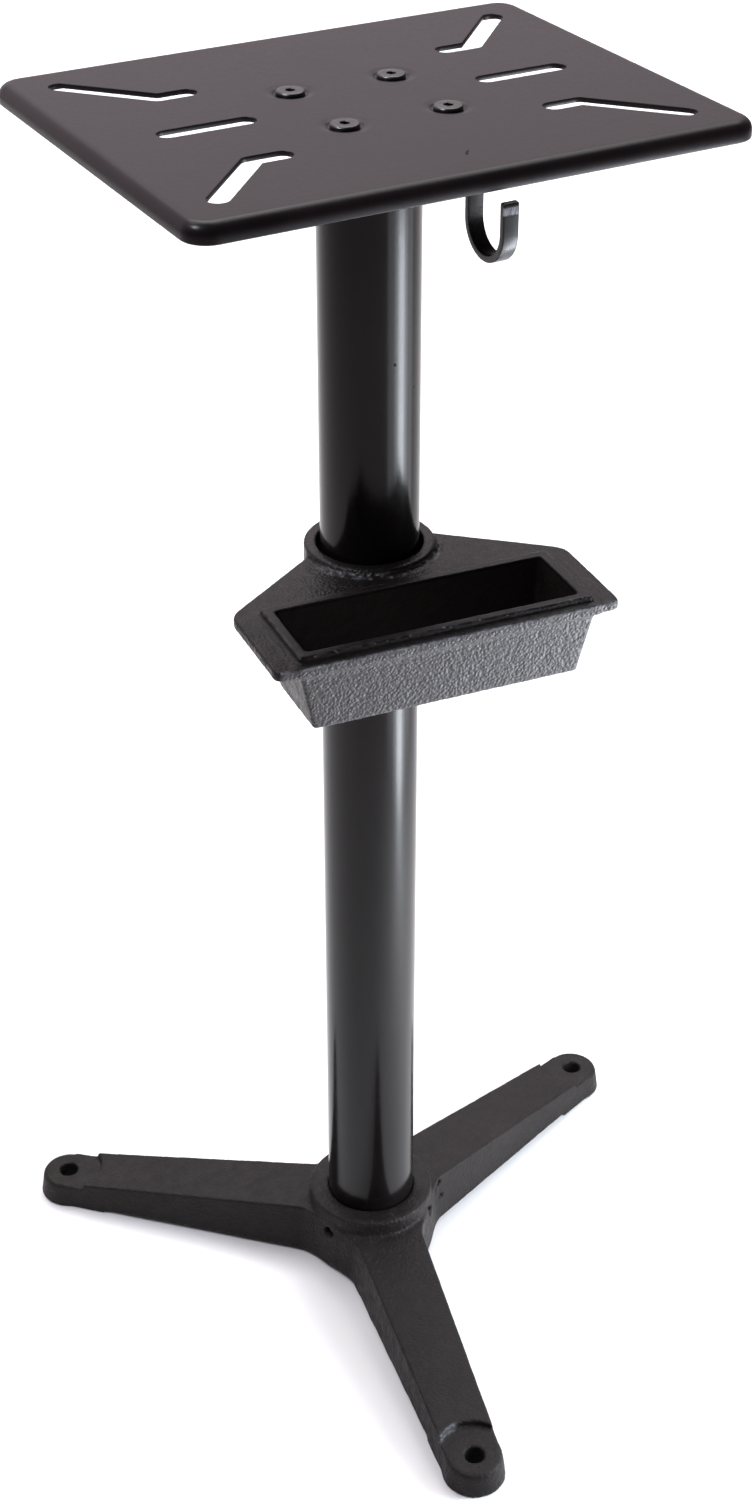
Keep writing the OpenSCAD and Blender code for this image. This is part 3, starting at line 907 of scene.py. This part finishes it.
def build_hook():
    s = Shell()
    w = HOOK_HI[0] - HOOK_LO[0]
    t = STRAP_T
    cx = middle("hook_strap")[0]
    back_y, front_y = HOOK_HI[1] - t / 2, HOOK_LO[1] + t / 2
    r = (back_y - front_y) / 2
    mid_y = (back_y + front_y) / 2
    mid_z = HOOK_LO[2] + r + t / 2
    path = [(back_y, z, 0.0) for z in np.linspace(HOOK_HI[2], mid_z, 6)[:-1]]
    for a in np.linspace(0, math.pi, 33):
        path.append((mid_y + r * math.cos(a), mid_z - r * math.sin(a), a))
    path += [(front_y, z, math.pi) for z in np.linspace(mid_z, HOOK_TIP_Z - 2.0, 6)[1:]]

    def section(y, z, ang, inset=0.0):
        """The bar's cross-section; py runs across its thickness, away from the bend's centre."""
        edge = HOOK_EDGE if inset < 0.6 else 0.3
        return [(cx + px, y + py * math.cos(ang), z - py * math.sin(ang))
                for px, py, _ in rounded_rect_loop(w / 2 - inset, t / 2 - inset, edge, 0, seg=4)]

    loops = [section(y, z, a) for y, z, a in path]
    for down, inset in ((0.9, 0.05), (0.45, 0.2), (0.15, 0.5), (0.0, 0.95)):
        loops.append(section(front_y, HOOK_TIP_Z - down, math.pi, inset))
    ids = s.loft(loops)
    s.disc(ids[0])
    s.disc(ids[-1], flip=True)
    mesh_object("hook_strap_bent_bar", s.v, s.f, "column", ["hook_strap"],
                MAT_HOOK, sharp=45)


# ---- base casting
LEG_ANGLES = [math.radians(a) for a in (-90, 30, 150)]
LEG_LIFT = 3.0         # gap between the legs and the floor, pads apart
LEG_HALF_W = 19.6      # half width of a leg at its floor hole
LEG_TAPER = math.tan(math.radians(2.4))
LEG_DRAFT = math.tan(math.radians(6))
LEG_TOP = 44.6         # height of the legs' top faces, carried on to the axis
LEG_FALL = 0.11        # fall of the top faces per mm outward
LEG_WALL = 6.0
LIFT_END = 194.5       # where the underside comes down to the floor at the pads
CAVITY_TOP = 38.6
CAVITY_START, CAVITY_END = 20.0, 191.5
CORE_R = 41.0          # solid round the column's socket
PAD_R, PAD_TOP, PAD_DRAFT = 20.8, 17.4, 2.4
SPOT_R = 24.5          # spot face cut into a leg above its pad
WEB_R, WEB_FLAT = 48.0, 45.0
HUB_R = 43.5
HUB_TOP = BASE_HI[2]
BORE_R = TUBE_R + 0.05
EYE_R = 24.0           # hole through the ledge that the column stands on
SET_HOLE_R = 4.05
SET_HOLE_FROM = 26.0   # the set screws' holes start inside the bore
SCREW_Z = middle("base_set_screw_1")[2]
BASE_GRID = 1.33
base_grain = Noise(11)
# blow holes beside the hub, towards leg 2: heading, reach from the axis, height, radius
PITS = [(math.radians(2.6), 52.7, 34.7, 2.6), (math.radians(-3.4), 48.7, 32.6, 3.0),
        (math.radians(2.3), 54.3, 21.7, 2.5), (math.radians(-37.1), 44.6, 40.0, 2.3),
        (math.radians(-33.0), 44.4, 38.4, 2.0)]


def along(x, y, a):
    """Distances along and across a heading a in the floor plane."""
    return x * math.cos(a) + y * math.sin(a), -x * math.sin(a) + y * math.cos(a)


def leg_fields(x, y, z, a):
    """One leg's sides, hollow, pad, spot face, floor hole and the flat of the web behind it.

    Factors just under 1 make a leaning face's field measure true distance.
    """
    s, t = along(x, y, a)
    t = np.abs(t)
    side = (t - (LEG_HALF_W + (FOOT_R - s) * LEG_TAPER) + (z - LEG_LIFT) * LEG_DRAFT) * 0.993
    side = np.maximum(side, s - FOOT_R)
    leg = np.maximum(side, -s)
    flat = -s - (WEB_FLAT - (z - LEG_LIFT) * LEG_TAPER)
    q = np.hypot(s - FOOT_R, t)
    pad = smax((q - (PAD_R - PAD_DRAFT * z / PAD_TOP)) * 0.99, z - PAD_TOP, 3.6)
    spot = np.maximum(q - SPOT_R, PAD_TOP - z)
    hollow = smax((z - (CAVITY_TOP - LEG_FALL * s)), side + LEG_WALL, 5.0)
    hollow = smax(hollow, s - (CAVITY_END - 0.06 * z), 4.0)
    hollow = np.maximum(hollow, CAVITY_START - s)
    return leg, hollow, pad, spot, q - FOOT_HOLE_R, flat


def base_field(x, y, z):
    """Distance field of the base in its own frame, with leg 1 along -Y, in mm."""
    rr = np.hypot(x, y)
    per_leg = [leg_fields(x, y, z, a) for a in LEG_ANGLES]
    legs, hollow, pads, spots, holes = (np.minimum.reduce(f) for f in list(zip(*per_leg))[:5])
    flat = np.maximum.reduce([f[5] for f in per_leg])
    reach = np.maximum.reduce([along(x, y, a)[0] for a in LEG_ANGLES] + [np.zeros_like(rr)])
    plan = smin(smax(rr - WEB_R, flat, 4.0), legs, 7.0)
    top = (z - (LEG_TOP - LEG_FALL * reach)) * 0.994
    body = smax(plan, top, 0.9)
    body = smax(body, -spots, 1.2)
    body = smax(body, -np.maximum(hollow, CORE_R - rr), 2.0)
    low = LEG_LIFT * (1 - np.clip((reach - LIFT_END) / 3.0, 0, 1))
    body = smax(body, low - z, 1.5)
    body = smin(body, pads, 1.6)
    ring = smax(smax(rr - HUB_R, z - HUB_TOP, 2.4), LEG_LIFT - z, 1.5)
    body = smin(body, ring, 2.6)
    body = smax(body, -z, 0.8)
    body = smax(body, -np.maximum(rr - BORE_R, TUBE_LO[2] - z), 1.4)
    body = smax(body, -(rr - EYE_R), 1.2)
    body = smax(body, -holes, 1.6)
    for a in LEG_ANGLES:
        s, t = along(x, y, a)
        bolt = np.maximum(np.hypot(t, z - SCREW_Z) - SET_HOLE_R, SET_HOLE_FROM + s)
        body = smax(body, -bolt, 1.0)
    for turn, away, height, r in PITS:
        pit = np.sqrt((x - away * math.cos(turn)) ** 2 + (y - away * math.sin(turn)) ** 2
                      + (z - height) ** 2) - r
        body = smax(body, -pit, 0.3)
    return body + 0.10 * base_grain(x, y, z, 9.0) + 0.05 * base_grain(y, z, x, 3.4)


def turned(verts, angle):
    """Vertices turned about the column axis."""
    c, s = math.cos(angle), math.sin(angle)
    out = verts.copy()
    out[:, 0] = verts[:, 0] * c - verts[:, 1] * s
    out[:, 1] = verts[:, 0] * s + verts[:, 1] * c
    return out


def base_wear(x, y, z):
    """Bare metal: scuffs round the front foot's spot face and fine grit beside the hub."""
    dots = np.random.RandomState(31).uniform(size=len(x))
    arc = np.exp(-((np.hypot(x, y + FOOT_R) - SPOT_R - 0.1) / 1.2) ** 2) * np.clip(z - 16.4, 0, 1)
    arc = arc * np.clip((-3.0 - x) / 3.0, 0, 1) * (0.35 + 0.65 * (dots > 0.5))
    grit = (dots > 0.975) * np.clip((125.0 - np.hypot(x, y)) / 60.0, 0, 1) * (y < 0)
    return np.clip(arc + 0.16 * grit, 0, 1)


def build_base():
    reach = FOOT_R + 22
    across = reach * math.cos(math.radians(30)) + 14
    verts, quads = surface_net(base_field, (-across, -reach, 0),
                               (across, reach * 0.5 + 20, HUB_TOP), BASE_GRID)
    wear_and_highlight = base_wear(*verts.T)
    verts = np.clip(turned(verts, BASE_TURN), BASE_LO, BASE_HI)
    mesh_object("base_cast_body", verts, quads, "base", ["base_casting"],
                MAT_CAST, weights={"wear_and_highlight": wear_and_highlight})


# ---- tray casting
SHELF_TOP = TRAY_TOP - 4.0
SHELF_T = 6.0
SHELF_HALF_L, SHELF_FRONT = 107.5, 121.0
COLLAR_R, COLLAR_H = 39.9, 42.0
TRAY_BORE_R = 32.6
TROUGH_Z = TRAY_LO[2]
TROUGH_H = 40.0        # height that the trough's lean is given over
CAVITY_FLOOR = TROUGH_Z + 5.0
CAVITY_H = 45.0        # height that the cavity's lean is given over
MOUTH_Y = -84.9        # middle of the mouth, front to back
LIP_HALF_L, LIP_HALF_W = 91.3, 30.9
LIP_FLARE = 0.22
TRAY_SCREW_Z = TRAY_TOP - 24.0
TRAY_HOLE_FROM = 28.0
TRAY_GRID = 1.1
tray_grain = Noise(23)


def lip_side(ax, y, z, k):
    """Distance outside the raised lip's flared sides, rounded by k in plan."""
    rise = (TRAY_TOP - z) * LIP_FLARE
    ends, sides = ax - LIP_HALF_L - rise, np.abs(y - MOUTH_Y) - LIP_HALF_W - rise
    return smax(ends, sides, k) if k else np.maximum(ends, sides)


def tray_field(x, y, z):
    """Distance field of the tray in its own frame, heights absolute, in mm."""
    ax = np.abs(x)
    rr = np.hypot(x, y)
    # the shelf narrows from its square front to the collar along this slant
    slant = 0.5956 * (ax - SHELF_HALF_L) + 0.8032 * (y + 48.5)
    plan = smax(smax(ax - SHELF_HALF_L, -SHELF_FRONT - y, 6.0), slant, 6.0)
    shelf = smax(np.maximum(plan, y - 6.0),
                 np.abs(z - (SHELF_TOP - SHELF_T / 2)) - SHELF_T / 2, 1.4)
    collar = smax(rr - COLLAR_R, np.abs(z - (TRAY_TOP - COLLAR_H / 2)) - COLLAR_H / 2, 2.4)
    # the walls lean out: f runs from 0 at the trough's foot to 1 just inside the shelf,
    # g from 0 at the cavity's floor to 1 just past its mouth
    f = (z - TROUGH_Z) / TROUGH_H
    outer = smax(smax((ax - (83.5 + 9.0 * f)) * 0.976, (-115.75 - 3.25 * f - y) * 0.997, 2.6),
                 (y - (-63.25 + 8.45 * f)) * 0.978, 2.6)
    trough = smax(smax(outer, TROUGH_Z - z, 2.2), z - (SHELF_TOP - 2.0), 1.0)
    lip = smax(lip_side(ax, y, z, 2.0), np.abs(z - (TRAY_TOP - 4.0)) - 4.0, 1.0)
    g = (z - CAVITY_FLOOR) / CAVITY_H
    cavity = smax(smax((ax - (78.5 + 7.0 * g)) * 0.988, (-110.75 + 0.75 * g - y), 3.2),
                  (y - (-68.25 + 8.45 * g)) * 0.983, 3.2)
    cavity = smax(cavity, CAVITY_FLOOR - z, 5.0)
    body = smin(shelf, collar, 2.6)
    body = smin(body, trough, 4.5)
    body = smin(body, lip, 1.2)
    body = smax(body, -cavity, 1.0)
    body = smax(body, -(rr - TRAY_BORE_R), 1.4)
    bolt = np.maximum(np.hypot(x, z - TRAY_SCREW_Z) - SET_HOLE_R, TRAY_HOLE_FROM - y)
    body = smax(body, -bolt, 1.0)
    rough = 0.08 * tray_grain(x, y, z, 5.0)
    rough = rough + 0.12 * tray_pebble(ax, y, z) * tray_grain(y, z, x, 2.2)
    return body + rough + tray_bead(x, y, z) * (0.8 * tray_grain(z, x, y, 2.4) - 0.7)


def tray_bead(x, y, z):
    """A ragged double fillet bead along the front of the collar."""
    rr = np.hypot(x, y)
    ring = np.exp(-((rr - 40.9) / 0.8) ** 2) + 0.8 * np.exp(-((rr - 43.2) / 0.8) ** 2)
    return ring * np.exp(-((z - SHELF_TOP - 0.8) / 1.8) ** 2) * np.clip((-y - 8.0) / 12.0, 0, 1)


def tray_pebble(ax, y, z):
    """How pebbled the skin is: strong outside the trough, mild on the shelf, slight inside."""
    mouth = smax(ax - 90.0, np.abs(y - MOUTH_Y) - 29.5, 1.0)
    wall = np.clip((SHELF_TOP - 1.2 - z) / 1.5, 0, 1)
    shelf = np.clip(mouth / 3.0, 0, 1) * 0.45
    g = (z - CAVITY_FLOOR) / CAVITY_H
    ends = smax(-112.5 + 0.75 * g - y, y - (-66.2 + 8.45 * g), 1.0)
    outside = np.clip(smax(ax - (80.5 + 7.0 * g), ends, 1.0), 0, 1)
    return np.maximum(wall * outside, shelf * outside) * 0.94 + 0.06


def tray_painted_highlights(x, y, z):
    """Painted highlights and glints on the collar's bead, the lip's edge and the shelf's front
    edge.
    """
    bead = tray_bead(x, y, z) * np.clip(tray_grain(z, x, y, 2.4) * 1.6 + 0.1, 0, 1)
    side = lip_side(np.abs(x), y, z, 0)
    edge = np.exp(-((side + 0.3) / 0.7) ** 2 - ((z - TRAY_TOP + 0.3) / 0.7) ** 2)
    skirt = np.exp(-((z - SHELF_TOP + 0.6) / 0.6) ** 2) * (y < 1.2 - SHELF_FRONT)
    ragged = np.clip(tray_grain(x, z, y, 4.0) * 2.0 + 0.3, 0, 1)
    dots = np.random.RandomState(37).uniform(size=len(x)) > 0.94
    glints = dots * edge * (y < -110) + dots * skirt
    wear_and_highlight = 0.8 * bead + 0.12 * edge * ragged + 0.8 * skirt * (0.5 + 0.5 * ragged) + 0.7 * glints
    return np.clip(wear_and_highlight, 0, 1)


def tray_masks(x, y, z):
    """Weights that the tray's material reads."""
    pebble = tray_pebble(np.abs(x), y, z)
    # face: painted sheen on the front faces of the shelf's edge and the trough
    face = np.clip((1.1 - SHELF_FRONT - y) / 0.5, 0, 1) * np.clip((SHELF_TOP - 0.3 - z) / 0.5, 0, 1)
    face = np.maximum(face, np.clip(-114.5 - y, 0, 1) * (z < SHELF_TOP - 5))
    # inner: where light is painted into the cavity
    inner = (pebble < 0.2) * (z < TRAY_TOP - 1.5) * (np.abs(x) < 88) * (np.abs(y + 84) < 31)
    # the tray's wear weight holds only painted highlights and glints
    return {"pebble": pebble, "face": face, "wear_and_highlight": tray_painted_highlights(x, y, z), "inner": inner}


def build_tray():
    verts, quads = surface_net(tray_field, (-108, -121.5, TROUGH_Z), (108, 40.5, TRAY_TOP),
                               TRAY_GRID)
    weights = tray_masks(*verts.T)
    verts = np.clip(turned(verts, TRAY_TURN), TRAY_LO, TRAY_HI)
    mesh_object("tray_cast_body", verts, quads, "tray", ["tray_casting"],
                MAT_TRAY, weights=weights)


build_plate()
build_tube()
build_flange()
build_welds()
build_plate_screws()
build_washers()
build_nuts()
for i in (1, 2, 3):
    build_set_screw(f"base_set_screw_{i}", f"base_screw_{i}", axis_angle(f"base_screw_{i}_travel"))
build_set_screw("tray_set_screw", "tray_screw", axis_angle("tray_screw_travel"))
build_hook()
build_base()
build_tray()


# ---- floor, light and camera
FLOOR_HALF = 6.0
FLOOR_DROP = 0.0004  # keeps the floor just under the feet
CAM_AT = Vector((-0.63078, -1.15638, 1.26398))
CAM_PITCH = math.radians(32.63)
CAM_YAW = math.radians(-28.82)
LENS = 58.8703       # on a 36 mm sensor
RIGHT = Vector((math.cos(CAM_YAW), math.sin(CAM_YAW), 0))
AHEAD = Vector((-math.sin(CAM_YAW), math.cos(CAM_YAW), 0))
UP = Vector((0, 0, 1))
SKY_TINT = (1.0, 0.87, 0.94, 1.0)
RIGHT_TINT = (0.88, 0.93, 1.0)
# panels of the right softbox, nested so that it fades outward: width, share of the power
RIGHT_PANELS = ((0.16, 0.42), (0.36, 0.28), (0.80, 0.30))
RIGHT_POWER = 10.5
RIGHT_TURN = math.radians(16)
RIGHT_MID = 0.29
# the other softboxes: name, place and target as right, ahead and up, size, watts, tint, spread
SOFTBOXES = (("softbox_over", (0, 1.3, 2.6), (0, 1.1, 0), (2.6, 1.8), 36, (1, 1, 1), 130),
             ("softbox_far", (0, 3.6, 4.6), (0, 3.6, 0), (3.0, 2.0), 75, (1, 1, 1), 95),
             ("softbox_left_high", (-0.75, -0.45, 1.85), (0, 0, 0.8), (0.35, 0.30), 13,
              (0.90, 0.93, 1.0), 180))


def build_floor():
    mat, nt, bsdf = new_material("floor_paper")
    vec = coords(nt)
    fac = noise_tex(nt, vec, 3.0, 2.0, 0.5)
    nt.links.new(ramp(nt, fac, [(0.3, grey(0.86)), (0.7, grey(0.90))]), bsdf.inputs["Base Color"])
    bsdf.inputs["Roughness"].default_value = 0.9
    bsdf.inputs["Specular IOR Level"].default_value = 0.1
    mesh = bpy.data.meshes.new("floor")
    e = FLOOR_HALF
    mesh.from_pydata([(-e, -e, 0), (e, -e, 0), (e, e, 0), (-e, e, 0)], [], [(0, 1, 2, 3)])
    mesh.materials.append(mat)
    floor = add_object("floor", mesh)
    floor.location.z = -FLOOR_DROP


def studio(right, ahead, up):
    """A point in the studio, from distances to the camera's right, ahead of it and up."""
    return RIGHT * right + AHEAD * ahead + UP * up


def area(name, loc, target, size, power, color, spread=180):
    """Rectangular softbox of power watts at loc that faces target, its spread in degrees."""
    light = bpy.data.lights.new(name, "AREA")
    light.shape = "RECTANGLE"
    light.size, light.size_y = size
    light.energy = power
    light.color = color
    light.spread = math.radians(spread)
    obj = add_object(name, light)
    obj.location = loc
    obj.rotation_euler = (target - loc).to_track_quat("-Z", "Y").to_euler()


def build_world():
    """Pale sky beyond the object and to the left, dim behind the camera."""
    world = bpy.data.worlds.new("studio")
    bpy.context.scene.world = world
    world.use_nodes = True
    nt = world.node_tree
    tc = nt.nodes.new("ShaderNodeTexCoord")
    dot = nt.nodes.new("ShaderNodeVectorMath")
    dot.operation = "DOT_PRODUCT"
    nt.links.new(tc.outputs["Generated"], dot.inputs[0])
    dot.inputs[1].default_value = tuple(studio(-0.5, 0.8, 0.55).normalized())
    bg = nt.nodes["Background"]
    bg.inputs["Color"].default_value = SKY_TINT
    nt.links.new(map_range(nt, dot.outputs["Value"], 0.15, 0.97, 0.06, 1.02, True),
                 bg.inputs["Strength"])


def build_light():
    side = RIGHT * math.cos(RIGHT_TURN) - AHEAD * math.sin(RIGHT_TURN)
    for k, (width, share) in enumerate(RIGHT_PANELS):
        area(f"softbox_right_{k}", side * (0.60 + 0.01 * k) + UP * RIGHT_MID, UP * RIGHT_MID,
             (width, 0.56), RIGHT_POWER * share, RIGHT_TINT)
    for name, place, target, *rest in SOFTBOXES:
        area(name, studio(*place), studio(*target), *rest)
    bpy.context.scene.view_settings.view_transform = "Standard"


def build_camera():
    cam = bpy.data.cameras.new("camera")
    cam.sensor_width = 36.0
    cam.sensor_fit = "AUTO"
    cam.lens = LENS
    obj = add_object("camera", cam)
    obj.location = CAM_AT
    obj.rotation_euler = (math.pi / 2 - CAM_PITCH, 0, CAM_YAW)
    bpy.context.scene.camera = obj


build_floor()
build_world()
build_light()
build_camera()
